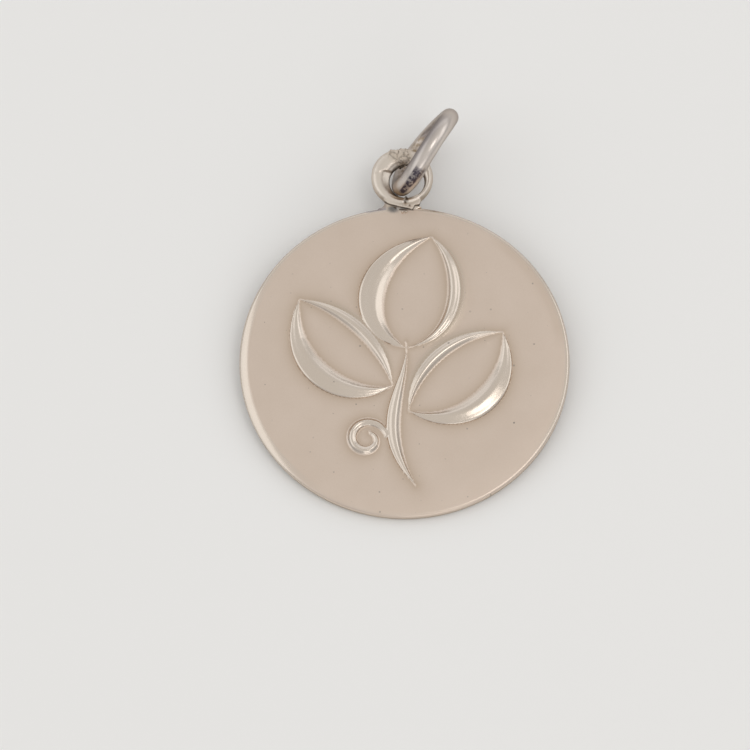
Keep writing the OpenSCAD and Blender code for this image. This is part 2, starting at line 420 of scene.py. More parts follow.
def face_fall_at(radius):
    share = np.clip((radius - (DISC_R - RIM_ROUND - FALL_W)) / FALL_W, 0, 1)
    return FALL_H * share ** 2


def worn_at(degrees):
    """How far the rim is worn round, from 0 to 1."""
    off = (degrees - WORN_AT + 180) % 360 - 180
    return np.exp(-(off / WORN_SPREAD) ** 4)


def rim_at(share, angle):
    """Radius and height at a share of the way over the rim, from the face to its outermost line."""
    flat = 0.5
    start_z = FACE_Z - face_fall_at(FACE_R)
    if share < flat:
        radius = FACE_R + (DISC_R - RIM_ROUND - FACE_R) * share / flat
        height = FACE_Z - face_fall_at(radius)
    else:
        turn = math.pi / 2 * (share - flat) / (1 - flat)
        radius = DISC_R - RIM_ROUND + RIM_ROUND * math.sin(turn)
        height = RIM_TOP_Z + RIM_ROUND * math.cos(turn)
    power = 2 / WORN_POWER
    turn = math.pi / 2 * share
    worn_radius = FACE_R + (DISC_R - FACE_R) * math.sin(turn) ** power
    worn_height = WORN_Z + (start_z - WORN_Z) * max(0, math.cos(turn)) ** power
    worn = float(worn_at(math.degrees(angle)))
    return radius + (worn_radius - radius) * worn, height + (worn_height - height) * worn


# Mesh of the disc

def keep_apart(points, gap, cells, kept):
    """Keeps the points that lie at least gap from every one kept before, with cells for a quick
    search. Returns each point's number among the kept, or -1."""
    size = CREASE_GAP * 2
    reach = int(math.ceil(gap / size))
    chosen = []
    for x, y in points:
        i, j = int(math.floor(x / size)), int(math.floor(y / size))
        near = []
        for a in range(i - reach, i + reach + 1):
            for b in range(j - reach, j + reach + 1):
                near += cells.get((a, b), ())
        if any((kept[k][0] - x) ** 2 + (kept[k][1] - y) ** 2 < gap * gap for k in near):
            chosen.append(-1)
        else:
            cells.setdefault((i, j), []).append(len(kept))
            chosen.append(len(kept))
            kept.append((x, y))
    return chosen


def face_points():
    """Points over the face: its edge, then rows along the strokes, then the plain face."""
    edge = FACE_R * np.stack((np.cos(RIM_ANGLES), np.sin(RIM_ANGLES)), 1)
    kept, cells = [], {}
    lines = [(i, (i + 1) % RIM_COUNT) for i in range(RIM_COUNT)]
    keep_apart(edge, 0, cells, kept)
    for shrink in EDGE_RINGS:
        keep_apart(edge * (1 - shrink / FACE_R), 0, cells, kept)
    rows = [s.rows() for s in SPRIG]
    for at, way, half in rows:
        for place in CREASES:
            chosen = keep_apart(at + way * (half * place)[:, None], CREASE_GAP, cells, kept)
            lines += [(a, b) for a, b in zip(chosen, chosen[1:]) if a >= 0 and b >= 0]
    for at, way, half in rows:
        for place in ACROSS:
            keep_apart(at + way * (half * place)[:, None], ROW_GAP, cells, kept)
    for at, way, half in rows:
        for gap in OUTSIDE:
            for side in (-1, 1):
                keep_apart(at + way * (side * (half + gap))[:, None], ROW_GAP, cells, kept)
    turn = RIM_ANGLES[::RIM_COUNT // 16]
    circle = np.stack((np.cos(turn), np.sin(turn)), 1)
    for share in (0, 0.4, 0.8, 1.2, 1.7):
        keep_apart(BUMP_AT + share * BUMP_R * circle, CREASE_GAP, cells, kept)
    pitch = FACE_STEP * math.sqrt(3) / 2
    count = int(DISC_R / pitch) + 1
    reach = FACE_R - EDGE_RINGS[-1] - FACE_GAP
    for j in range(-count, count + 1):
        shift = FACE_STEP / 2 * (j % 2)
        row = [(i * FACE_STEP + shift, j * pitch) for i in range(-count - 2, count + 3)]
        keep_apart([at for at in row if math.hypot(*at) < reach], FACE_GAP, cells, kept)
    return kept, lines


def disc_mesh():
    """Closed mesh of the disc: face with relief, rounded rim and plain back."""
    kept, lines = face_points()
    flat, _, faces, found, _, _ = delaunay_2d_cdt([Vector(p) for p in kept], lines, [], 0, 1e-5)
    xy = np.array([(p[0], p[1]) for p in flat])
    lift = relief_at(xy)
    z = FACE_Z - face_fall_at(np.linalg.norm(xy, axis=1)) + lift + hand_finish_at(xy, lift)
    verts = [(x, y, h) for (x, y), h in zip(xy, z)]
    edge = [None] * RIM_COUNT
    for i, sources in enumerate(found):
        for source in sources:
            if source < RIM_COUNT:
                edge[source] = i
    profile = [[rim_at(k / RIM_STEPS, a) for a in RIM_ANGLES] for k in range(1, RIM_STEPS + 1)]
    for k in range(0, RIM_STEPS // 2 + 1):
        turn = math.pi / RIM_STEPS * k
        radius = DISC_R - RIM_ROUND + RIM_ROUND * math.cos(turn)
        profile.append([(radius, RIM_LOW_Z - RIM_ROUND * math.sin(turn))] * RIM_COUNT)
    profile += [[(r, -DISC_T / 2)] * RIM_COUNT for r in BACK_RADII]
    faces = [tuple(f) for f in faces]
    last = edge
    for ring in profile:
        start = len(verts)
        verts += [(r * math.cos(a), r * math.sin(a), z) for (r, z), a in zip(ring, RIM_ANGLES)]
        row = list(range(start, start + RIM_COUNT))
        for i in range(RIM_COUNT):
            j = (i + 1) % RIM_COUNT
            faces.append((last[i], row[i], row[j], last[j]))
        last = row
    verts.append((0, 0, -DISC_T / 2))
    middle = len(verts) - 1
    for i in range(RIM_COUNT):
        faces.append((last[i], middle, last[(i + 1) % RIM_COUNT]))
    return verts, faces


# Eyelet, solder and jump ring

def turns(count):
    """Angles of one full turn in even steps."""
    return [2 * math.pi * i / count for i in range(count)]


def faces_between(low, high, count):
    """Faces between two closed rows of points, from the numbers of their first points."""
    sides = [(i, (i + 1) % count) for i in range(count)]
    return [(low + i, low + j, high + j, high + i) for i, j in sides]


def closed_tube(rings):
    """Mesh of a closed tube through rings of points that all have the same count."""
    sides = len(rings[0])
    last = len(rings) * sides
    faces = []
    for start in range(0, last, sides):
        faces += faces_between(start, (start + sides) % last, sides)
    return [p for ring in rings for p in ring], faces


def eyelet_section(angle, sides=48):
    """Points round the wire's section where it stands at an angle round the eyelet."""
    degrees = math.degrees(angle)
    square = SQUARE - SQUARE_CHANGE * math.cos(angle)
    way = Vector((math.cos(angle), math.sin(angle)))
    hole = Vector((HOLE_SIDE, -HOLE_DOWN)) - Vector(BODY_AT)
    to_hole = way.dot(hole)
    inner = to_hole + math.sqrt(to_hole ** 2 - hole.length_squared + (HOLE_D / 2) ** 2) - SKIN
    lap_in = float(smoothstep(LAP_OUT, LAP_OUT + LAP_TAPER, degrees))
    filed_in = float(smoothstep(FILED_TO + FILED_TAPER, FILED_TO, degrees))
    joint = math.exp(-((degrees - JOINT_AT) / JOINT_WIDTH) ** 2)
    outer = EYELET_OD / 2 + SKIN + LAP_RAISED * lap_in * (degrees < LAP_END)
    half = (outer - inner) / 2
    middle = (outer + inner) / 2
    section = []
    for turn in turns(sides):
        c, s = math.cos(turn), math.sin(turn)
        across = math.copysign(abs(c) ** (2 / square), c)
        up = math.copysign(abs(s) ** (2 / square), s)
        inwards = float(smoothstep(0.25, -1.0, across))
        to_end = LAP_END + LAP_SLANT * across - degrees
        lap = lap_in * (to_end > 0)
        if up > 0:
            mark = 0.5 + 0.5 * math.sin(MARKS * math.pi * across)
            mark *= math.exp(-(to_end / MARK_REACH) ** 2)
            up *= 1 - FILED_DEPTH * filed_in * (to_end <= 0) * inwards - MARK_DEPTH * mark * lap
            up -= JOINT_DEPTH * joint * inwards ** 0.5 * up
        reach = middle + across * half
        x, y = BODY_AT[0] + way.x * reach, BODY_AT[1] + way.y * reach
        section.append((x, EYELET_Y + y, up * (EYELET_WIRE / 2 + SKIN) * (1 + LAP_THICK * lap)))
    return section


def eyelet_mesh(count=440):
    """Worn wire ring with its hole off centre, a lapping end and an open joint."""
    return closed_tube([eyelet_section(angle) for angle in turns(count)])


def slab_mesh(outline, low, high):
    """Straight-sided slab over an outline that runs anticlockwise."""
    count = len(outline)
    verts = [(x, y, z) for z in (low, high) for x, y in outline]
    ends = [tuple(range(count - 1, -1, -1)), tuple(range(count, 2 * count))]
    return verts, ends + faces_between(0, count, count)


def fillet_arc(radius, steps=8):
    """Points of the hollow on the right between the rim and the eyelet, from the top down."""
    y = ((DISC_R + radius) ** 2 - (EYELET_OD / 2 + radius) ** 2 + EYELET_Y ** 2) / (2 * EYELET_Y)
    x = math.sqrt((DISC_R + radius) ** 2 - y ** 2)
    low = math.atan2(-y, -x) + 2 * math.pi
    high = math.atan2(EYELET_Y - y, -x)
    angles = [high + (low - high) * k / steps for k in range(steps + 1)]
    return [(x + radius * math.cos(a), y + radius * math.sin(a)) for a in angles]


def fillet_mesh():
    """Slab of solder between the rim and the eyelet, hollowed on each side."""
    left = [(-x, y) for x, y in fillet_arc(SOLDER_R[0])]
    right = fillet_arc(SOLDER_R[1])
    top = (0, EYELET_Y - EYELET_OD / 2 + 0.4)
    outline = [top, *left, (0, DISC_R - 0.6), *reversed(right)]
    return slab_mesh(outline, -SOLDER_T / 2, SOLDER_T / 2)


def lip_mesh():
    """Flat lip along the bottom of the eyelet's front, over the disc's edge."""
    outer = [(x, EYELET_Y + y) for x, y in LIP]
    ways = [Vector(corner).normalized() * LIP_INNER for corner in reversed(LIP)]
    inner = [(way.x, EYELET_Y + way.y) for way in ways]
    return slab_mesh(outer + inner, 0.0, LIP_TOP)


# Beads of solder: centre x, y, z, half lengths along x, y, z and turn in the face's plane
SOLDER_BEADS = [
    (-0.84, 12.30, 0.25, 0.44, 0.28, 0.11, -8),
    (-0.49, 12.38, 0.31, 0.05, 0.15, 0.08, 0),
    (-0.13, 12.04, 0.36, 0.11, 0.10, 0.18, 0),
    (0.15, 12.06, 0.36, 0.10, 0.10, 0.18, 0),
    (-1.70, 12.36, 0.10, 0.34, 0.14, 0.20, 8),
    (1.00, 12.52, 0.16, 0.34, 0.11, 0.18, -4),
]


def bead_mesh(bead, count=16):
    """Rounded bead with a closed surface of rings between two poles."""
    x, y, z, rx, ry, rz, turn = bead
    c, s = math.cos(math.radians(turn)), math.sin(math.radians(turn))
    verts = [(x, y, z - rz)]
    for i in range(1, count):
        up = math.pi * i / count
        for a in turns(count):
            px, py = rx * math.sin(up) * math.cos(a), ry * math.sin(up) * math.sin(a)
            verts.append((x + c * px - s * py, y + s * px + c * py, z - rz * math.cos(up)))
    verts.append((x, y, z + rz))
    top = len(verts) - 1
    last = top - count
    faces = []
    for j in range(count):
        k = (j + 1) % count
        faces += [(0, 1 + k, 1 + j), (last + j, last + k, top)]
    for start in range(1, last, count):
        faces += faces_between(start, start + count, count)
    return verts, faces


def jump_ring_mesh(count=480, sides=64):
    """Round wire ring, a little sprung, with faint dents and its joint's groove."""
    radius = (RING_OD - RING_WIRE) / 2
    rings = []
    for angle in turns(count):
        c, s = math.cos(angle), math.sin(angle)
        spring = -RING_BEND * math.cos(2 * angle)
        degrees = math.degrees(angle)
        groove = SEAM_GROOVE * math.exp(-((degrees - RING_SEAM) / SEAM_WIDTH) ** 2)
        further = REACH_OUT[2] * math.exp(-((degrees - REACH_OUT[0]) / REACH_OUT[1]) ** 2)
        fuller = FULLER[2] * math.exp(-((degrees - FULLER[0]) / FULLER[1]) ** 2)
        ring = []
        for turn in turns(sides):
            out, side = math.cos(turn), math.sin(turn)
            at = Vector((c * (radius + out), s * (radius + out), side))
            wire = RING_WIRE / 2 + DENTS[0] * noise.noise(at * DENTS[1]) - DENTS[2] - groove
            wire += fuller * (1 - side) / 2
            reach = radius + further + wire * out
            ring.append((c * reach, s * reach, wire * side + spring))
        rings.append(ring)
    return closed_tube(rings)


def mesh_object(name, *shapes):
    """Object with one mesh made of one or more shapes of points and faces."""
    verts, faces = [], []
    for points, sides in shapes:
        start = len(verts)
        verts += points
        faces += [tuple(i + start for i in f) for f in sides]
    mesh = bpy.data.meshes.new(name)
    mesh.from_pydata(verts, [], faces)
    mesh.validate()
    made = bpy.data.objects.new(name, mesh)
    scene.collection.objects.link(made)
    return made


def apply_modifiers(made):
    """Puts the modified mesh in place of the object's own."""
    seen = made.evaluated_get(bpy.context.evaluated_depsgraph_get())
    mesh = bpy.data.meshes.new_from_object(seen)
    made.modifiers.clear()
    made.data = mesh
    mesh.materials.clear()


def line_distance(points, corners):
    """Distance of each point from a line through corners."""
    corners = np.array(corners)
    best = np.full(len(points), np.inf)
    for a, b in zip(corners, corners[1:]):
        share = np.clip((points - a) @ (b - a) / ((b - a) @ (b - a)), 0, 1)
        best = np.minimum(best, np.linalg.norm(points - a - share[:, None] * (b - a), axis=1))
    return best


def cracks_at(points, lines, width):
    """1 in the middle of a crack and less beside it, at points from the eyelet's middle."""
    shake = []
    for x, y in points:
        here = (x * SHAKES_PER_MM, y * SHAKES_PER_MM)
        shake.append([noise.noise(Vector((*here, layer))) for layer in (0.3, 7.3)])
    moved = points + CRACK_SHAKE * np.array(shake).reshape(-1, 2)
    gap = np.min([line_distance(moved, corners) for corners in lines], axis=0)
    return np.exp(-(gap / width) ** 2)


def pit_at(points):
    """1 in the middle of the pit and less beside it."""
    return np.exp(-((points - PIT) ** 2).sum(1) / PIT_R ** 2)


def plate_place(at):
    """Place in the pattern of crumpled plates, whose edges are made ragged."""
    return at * PLATES_PER_MM + noise.noise_vector(at * RAGS_PER_MM) * RAGGED


def plate_lift(at):
    """How far the crumpled plate at a place stands out, from its own height and tilt."""
    place = plate_place(at)
    _, corners = noise.voronoi(place)
    step = PLATE_STEP * noise.noise(corners[0] * STEP_SPREAD)
    tilt = noise.noise_vector(corners[0] * TILT_SPREAD)
    return step + PLATE_TILT * tilt.dot(place - corners[0])


def lumps_at(at, size, per_mm):
    return size * noise.fractal(at * per_mm, 1.0, 2.0, 2)


def roughen(made):
    """Plates, lumps and cracks on the eyelet's top, and uneven solder at its bottom."""
    noise.seed_set(PLATES_SEED)
    p = Places(made)
    top = fade(CRUMPLE_RIGHT, p.around) * fade(CRUMPLE_LEFT, p.around)
    low = fade(UNEVEN_FROM, p.y)
    sunk = CRACK_DEPTH * cracks_at(p.here, CRACKS, CRACK_W) + PIT_DEPTH * pit_at(p.here)
    sunk = (sunk + SEAM_DEPTH * cracks_at(p.here, JOINT, JOINT_W)) * (p.z > 0)
    for v, across, t, w, down in zip(made.data.vertices, p.here, top, low, sunk):
        lumps = -down
        if t > 0:
            lumps += t * (plate_lift(v.co) + lumps_at(v.co, *LUMPS))
        if w > 0:
            lumps += w * lumps_at(v.co, *UNEVEN)
        v.co += Vector((*across, v.co.z * PUSH_UP)).normalized() * lumps


def eyelet_object():
    """Eyelet, fillet, lip and beads grown into one skin."""
    beads = [bead_mesh(bead) for bead in SOLDER_BEADS]
    made = mesh_object("eyelet", eyelet_mesh(), fillet_mesh(), lip_mesh(), *beads)
    remesh = made.modifiers.new("skin", "REMESH")
    remesh.mode = "VOXEL"
    remesh.voxel_size = VOXEL
    smooth = made.modifiers.new("smooth", "SMOOTH")
    smooth.factor = 0.5
    smooth.iterations = SMOOTHINGS
    apply_modifiers(made)
    roughen(made)
    return made


def pendant_object():
    """Disc and eyelet as one solid piece of metal."""
    made = mesh_object("pendant", disc_mesh())
    eyelet = eyelet_object()
    join = made.modifiers.new("solder", "BOOLEAN")
    join.operation = "UNION"
    join.solver = "MANIFOLD"
    join.object = eyelet
    apply_modifiers(made)
    bpy.data.objects.remove(eyelet)
    return made


# Edges sharper than this many degrees stay crisp
PENDANT_CRISP = 48
RING_CRISP = 60


def shade(made, limit):
    """Smooth shading with crisp edges."""
    made.data.shade_smooth()
    made.data.set_sharp_from_angle(angle=math.radians(limit))


def points_of(made):
    """Places of a mesh's points, one row each."""
    co = np.empty(len(made.data.vertices) * 3, np.float32)
    made.data.vertices.foreach_get("co", co)
    return co.reshape(-1, 3).astype(float)


def store(made, name, values):
    """Stores one number or one place for each point of a mesh, for its material."""
    kind, key = ("FLOAT", "value") if values.ndim == 1 else ("FLOAT_VECTOR", "vector")
    layer = made.data.attributes.new(name, kind, "POINT")
    layer.data.foreach_set(key, values.astype(np.float32).ravel())


# Wear of the pendant, and painted shade and reflection on it. Pairs are where something begins and
# where it is full, in millimetres or in degrees from the right side.
FRONT_Z = 0.15
RAISED = (0.02, 0.10)
BLOOM_W = 0.42
RIM_POLISH = (12.05, 12.3)
WORN_POLISH = (11.8, 12.0)
# Bottom of the rim, which is less polished
DULL_SHARE = 0.8
DULL_FROM = (-25, -45)
DULL_TO = -140
# Brown band along the rim at its upper right, partly tarnish and partly painted shade of the face's
# fall to the rim
BAND_BROWN = 0.3
BAND_INNER = (11.3, 11.9)
BAND_OUTER = (12.35, 12.15)
BAND_FROM = (2, 14)
BAND_TO = (62, 48)
# Eyelet's polish, and where it and its wire's colour begin: off the rim, and from its middle
EYELET_POLISH = 0.25
EYELET_OFF = 0.05
EYELET_LOW = -2.6
WIRE_LOW = -2.7
# Circle round the joint: how far below the middle, and its radius
JOINT_BELOW = 2.5
JOINT_NEAR = 2.2
# Painted shade inside the hole, with some brown tarnish, in a narrow belt at the lower left and else
# in a broad one
INSIDE_W = (0.16, 0.0)
NARROW_AT = 230
NARROW_REACH = 52
NARROW_BELT = 0.12
BROAD_BELT = 0.30
BELT_SOFT = 0.12
INSIDE_BROWN = 0.3
INSIDE_SHADE = 0.9
# Painted dark reflection, in brown, on the wire's outer side, from its edge and down from the middle
SIDE_W = (0.24, 0.0)
SIDE_DOWN = (0.4, -1.6)
SIDE_TOP = 0.44
SIDE_PAINTED_REFLECTION = 0.7
# Tarnish on the crumpled top, its plates' edges in plate widths, and the noise that breaks them
STAIN_RIGHT = (62, 80)
STAIN_LEFT = (136, 116)
PLATE_EDGE = (0.12, 0.02)
EDGE_BREAK = (-0.25, 0.15)
BREAKS_PER_MM = 2.1
EDGE_DIRT = 0.45
# Dirt in the cracks and in the joint, and painted shadow under the lip
CRACK_DIRT = 0.6
JOINT_DIRT_W = 2.2
JOINT_DIRT_IN = (0.6, 0.2)
SHADE_W = (0.11, 0.03)
SHADE_TOP = (0.40, 0.36)
SHADE_LOW = 0.1
# Grey solder of the left fillet
FILLET_SIDE = (-1.30, -1.45)
FILLET_DOWN = (-1.95, -2.15)
FILLET_LOW = -2.9
FILLET_INNER = 12.3
FILLET_GREY = 0.9
# Dark smudges under the lip: x, y from the disc's middle, half width, half height and strength
SMUDGES = [(-0.84, 12.33, 0.44, 0.32, 1.0), (-0.02, 12.33, 0.56, 0.15, 0.9)]
SMUDGE_TOP = 0.41
# Bright specks of solder: x, y from the disc's middle, reach and lowest height
SPECKS = (0.01, 12.05, 0.4, 0.38)


class Places:
    """Points of the pendant, seen from the disc's middle and from the eyelet's."""

    def __init__(self, made):
        self.co = points_of(made)
        self.z = self.co[:, 2]
        self.flat = self.co[:, :2]
        self.radius = np.linalg.norm(self.flat, axis=1)
        self.round_disc = np.degrees(np.arctan2(self.flat[:, 1], self.flat[:, 0]))
        self.here = self.flat - (0, EYELET_Y)
        self.x, self.y = self.here.T
        self.around = np.degrees(np.arctan2(self.y, self.x)) % 360
        self.from_hole = np.hypot(self.x - HOLE_SIDE, self.y + HOLE_DOWN) - HOLE_D / 2
        self.on_eyelet = (self.radius > DISC_R + EYELET_OFF) & (self.y > EYELET_LOW)
        self.near_joint = np.hypot(self.x, self.y + JOINT_BELOW) < JOINT_NEAR


def face_wear_and_shade(p):
    """How polished the disc is, and how brown from tarnish and from painted shade along the rim."""
    front = p.z > FRONT_Z
    on_face = front & (p.radius < FACE_R)
    lift = np.zeros(len(p.co))
    near = np.full(len(p.co), np.inf)
    lift[on_face] = relief_at(p.flat[on_face])
    for s in SPRIG:
        across, half, _ = s.nearest(p.flat[on_face])
        near[on_face] = np.minimum(near[on_face], np.abs(across) - half)
    dull = DULL_SHARE * fade(DULL_FROM, p.round_disc) * (p.round_disc > DULL_TO)
    rim = fade(RIM_POLISH, p.radius) * (1 - dull)
    rim = np.maximum(rim, worn_at(p.round_disc) * fade(WORN_POLISH, p.radius))
    polish = np.where(on_face, fade(RAISED, lift), np.where(front, rim, 1.0))
    bloom_and_shade = np.where(near > 0, np.exp(-np.maximum(near, 0) / BLOOM_W), 0.0) * on_face
    # Partly tarnish, partly painted shade along the rim's upper right
    band = BAND_BROWN * fade(BAND_INNER, p.radius) * fade(BAND_OUTER, p.radius) * front
    band = band * fade(BAND_FROM, p.round_disc) * fade(BAND_TO, p.round_disc)
    return polish, np.maximum(bloom_and_shade, band)


def crumple_wear(p):
    """Where the eyelet's top is stained, and where the edges of its plates are."""
    top = fade(STAIN_RIGHT, p.around) * fade(STAIN_LEFT, p.around) * p.on_eyelet
    edges = np.zeros(len(p.co))
    for i in np.flatnonzero(top > 0):
        at = Vector(p.co[i])
        distances, _ = noise.voronoi(plate_place(at))
        edges[i] = fade(PLATE_EDGE, distances[1] - distances[0])
        edges[i] *= fade(EDGE_BREAK, noise.noise(at * BREAKS_PER_MM))
    return top, edges


def sunk_wear(p):
    """Dirt in the cracks, the open joint and the pit."""
    worn = (p.on_eyelet | p.near_joint) & (p.z > 0)
    here = p.here[worn]
    sunk = np.zeros(len(p.co))
    open_joint = np.maximum(cracks_at(here, JOINT, JOINT_W), pit_at(here))
    sunk[worn] = np.maximum(CRACK_DIRT * cracks_at(here, CRACKS, CRACK_W), open_joint)
    return sunk


def lip_shade(p):
    """Painted shadow in the corner under the lip's edge."""
    gap = np.full(len(p.co), np.inf)
    gap[p.near_joint] = line_distance(p.here[p.near_joint], LIP)
    return fade(SHADE_W, gap) * fade(SHADE_TOP, p.z) * (p.z > SHADE_LOW)


def eyelet_wear_and_shade(p):
    """How brown and how dark the eyelet is, from tarnish, dirt, painted shade and a painted dark
    reflection.
    """
    top, edges = crumple_wear(p)
    narrow = np.abs(p.around - NARROW_AT) < NARROW_REACH
    belt = np.where(narrow, NARROW_BELT, BROAD_BELT)
    # Where shade is painted inside the hole, with some brown tarnish
    inside = fade(INSIDE_W, p.from_hole)
    inside = inside * smoothstep(belt + BELT_SOFT, belt - BELT_SOFT, np.abs(p.z))
    # Painted dark reflection along the wire's outer side
    from_side = EYELET_OD / 2 - np.hypot(p.x - BODY_AT[0], p.y - BODY_AT[1])
    side = fade(SIDE_W, from_side) * fade(SIDE_DOWN, p.y) * (p.z < SIDE_TOP)
    joint = np.exp(-((p.around - JOINT_AT) / JOINT_DIRT_W) ** 2) * fade(JOINT_DIRT_IN, p.from_hole)
    brown = p.on_eyelet * np.maximum(INSIDE_BROWN * inside, top * (0.5 + 0.5 * edges))
    brown = np.maximum(brown, SIDE_PAINTED_REFLECTION * side * p.on_eyelet)
    # Dirt in the cracks, the joint and plate edges, with painted shade inside the hole and painted
    # shadow under the lip
    dirt_and_shade = np.maximum(sunk_wear(p), p.on_eyelet * np.maximum(joint, INSIDE_SHADE * inside))
    dirt_and_shade = np.maximum(dirt_and_shade, np.maximum(lip_shade(p), EDGE_DIRT * top * edges))
    return brown, dirt_and_shade


def smudge_wear(p):
    """Dark smudges on the solder under the lip."""
    made = np.zeros(len(p.co))
    for x, y, half_w, half_h, strength in SMUDGES:
        off = ((p.flat[:, 0] - x) / half_w) ** 2 + ((p.flat[:, 1] - y) / half_h) ** 2
        made = np.maximum(made, strength * np.exp(-off ** 2))
    return made * (p.z > 0) * (p.z < SMUDGE_TOP)


def write_wear_and_shade(made):
    """Stores how polished, brown, dark and grey the pendant is, with painted shade and reflection
    among the brown and the dark.
    """
    p = Places(made)
    polish, bloom_and_shade = face_wear_and_shade(p)
    brown, dirt_and_shade = eyelet_wear_and_shade(p)
    smudge = smudge_wear(p)
    fillet = fade(FILLET_SIDE, p.x) * fade(FILLET_DOWN, p.y) * (p.radius > FILLET_INNER)
    x, y, reach, height = SPECKS
    speck = (np.hypot(p.flat[:, 0] - x, p.flat[:, 1] - y) < reach) * (p.z > height)
    bright = np.maximum(polish, np.maximum(smudge, speck))
    store(made, "place", p.co)
    store(made, "polish", np.where(p.on_eyelet, EYELET_POLISH, bright))
    # Brown is tarnish, with painted shade along the rim and in the hole, and a painted dark reflection
    # on the eyelet's side
    store(made, "brown", np.maximum(bloom_and_shade, brown))
    store(made, "dirt_and_shade", dirt_and_shade)
    store(made, "grey", FILLET_GREY * fillet * (p.y > FILLET_LOW))
    store(made, "smudge", smudge)
    store(made, "wire", np.maximum(p.on_eyelet * (p.y > WIRE_LOW), speck) * 1.0)


# Materials

class Nodes:
    """Adds and links the nodes of a tree."""

    def __init__(self, tree):
        self.tree = tree
        tree.nodes.clear()

    def add(self, kind, inputs=None, **settings):
        node = self.tree.nodes.new("ShaderNode" + kind)
        for key, value in settings.items():
            setattr(node, key, value)
        for key, value in (inputs or {}).items():
            if isinstance(value, bpy.types.NodeSocket):
                self.tree.links.new(value, node.inputs[key])
            else:
                node.inputs[key].default_value = value
        return node

    def math(self, operation, a, b):
        return self.add("Math", {0: a, 1: b}, operation=operation).outputs[0]

    def times(self, a, b):
        return self.math("MULTIPLY", a, b)

    def mix(self, factor, a, b):
        a, b = (v if isinstance(v, bpy.types.NodeSocket) else (*v, 1) for v in (a, b))
        return self.add("Mix", {0: factor, 6: a, 7: b}, data_type="RGBA").outputs[2]

    def spread(self, value, onto, band=(0, 1)):
        """Carries a value from one band of numbers over to another."""
        ends = dict(enumerate((value, *band, *onto)))
        return self.add("MapRange", ends).outputs[0]

    def attribute(self, name, output="Fac"):
        return self.add("Attribute", attribute_name=name).outputs[output]

    def noise(self, place, scale, detail):
        return self.add("TexNoise", {
            "Vector": place, "Scale": scale, "Detail": detail, "Roughness": 0.5}).outputs["Fac"]

    def stretched_noise(self, place, stretch, turn, scale, detail):
        """Noise turned in the face's plane and stretched along the axes, as fine scratches."""
        turned = self.add("Mapping", {
            "Vector": place, "Rotation": (0, 0, math.radians(turn)), "Scale": stretch})
        return self.noise(turned.outputs[0], scale, detail)

    def worn_metal(self, colour, tint, rough, height, bump):
        """Shader of a worn metal, with a bump of a strength and a depth."""
        bump = self.add("Bump", {"Strength": bump[0], "Distance": bump[1], "Height": height})
        shader = self.add("BsdfPrincipled", {
            "Base Color": colour, "Metallic": 1.0, "Roughness": rough,
            "Normal": bump.outputs[0], "Specular Tint": (*tint, 1)})
        self.add("OutputMaterial", {0: shader.outputs[0]})


def new_material(name):
    material = bpy.data.materials.new(name)
    material.use_nodes = True
    return material, Nodes(material.node_tree)


FACE_SILVER = (0.79, 0.67, 0.58)
POLISHED_SILVER = (0.765, 0.68, 0.60)
WIRE_SILVER = (0.80, 0.73, 0.655)
SOLDER_GREY = (0.42, 0.375, 0.37)
SMUDGE_GREY = (0.15, 0.145, 0.145)
TARNISH_AND_SHADE_BROWN = (0.44, 0.325, 0.215)
# Dark coat for dirt in cracks and the joint, and for painted shade inside the hole and under the lip
DIRT_AND_SHADE = (0.10, 0.08, 0.065)
PIT_GREY = (0.28, 0.25, 0.22)
SILVER_TINT = (0.72, 0.68, 0.64)
# Coats over the silver in turn: the attribute that says where, its strength and its colour
COATS = [("grey", 1.0, SOLDER_GREY), ("smudge", 0.9, SMUDGE_GREY), ("brown", 0.5, TARNISH_AND_SHADE_BROWN),
         ("dirt_and_shade", 0.92, DIRT_AND_SHADE)]
SATIN_ROUGH = (0.36, 0.42)
BRIGHT_ROUGH = (0.17, 0.24)
# Noises: how many in a millimetre and their detail
CLOUDS = (0.35, 4)
GRAIN = (14, 2)
# Share of tarnish all over the silver, from its clouds and from its grain
CLOUD_TARNISH = 0.20
GRAIN_TARNISH = 0.14
# Tiny pits: cells in a millimetre, which share of them holds one, widest reach and how dark
PIT_CELLS = 0.6
PIT_CHANCE = (0.35, 1.0)
PIT_REACH = (0.0, 0.05)
PIT_DARK = 0.8
# Fine scratches: stretch along the axes and turn in degrees
SCRATCHES = [((0.5, 12, 1), 12), ((9, 0.6, 1), 30)]
SCRATCH_NOISE = (2.0, 2)
# Height of the grain and depth of the pits beside the scratches
GRAIN_HEIGHT = 0.6
PIT_SINK = 3.0
# Strength and depth in metres
SCRATCH_BUMP = (0.35, 0.000004)


def pits(n, place):
    """How dark the tiny pits in the silver are, each by chance."""
    cells = n.add("TexVoronoi", {
        "Vector": place, "Scale": PIT_CELLS, "Randomness": 1.0}, voronoi_dimensions="2D")
    chance = n.add("SeparateColor", {0: cells.outputs["Color"]}).outputs
    reach = n.spread(chance[0], PIT_REACH, PIT_CHANCE)
    dots = n.math("LESS_THAN", cells.outputs["Distance"], reach)
    return n.times(dots, n.times(chance[1], PIT_DARK))


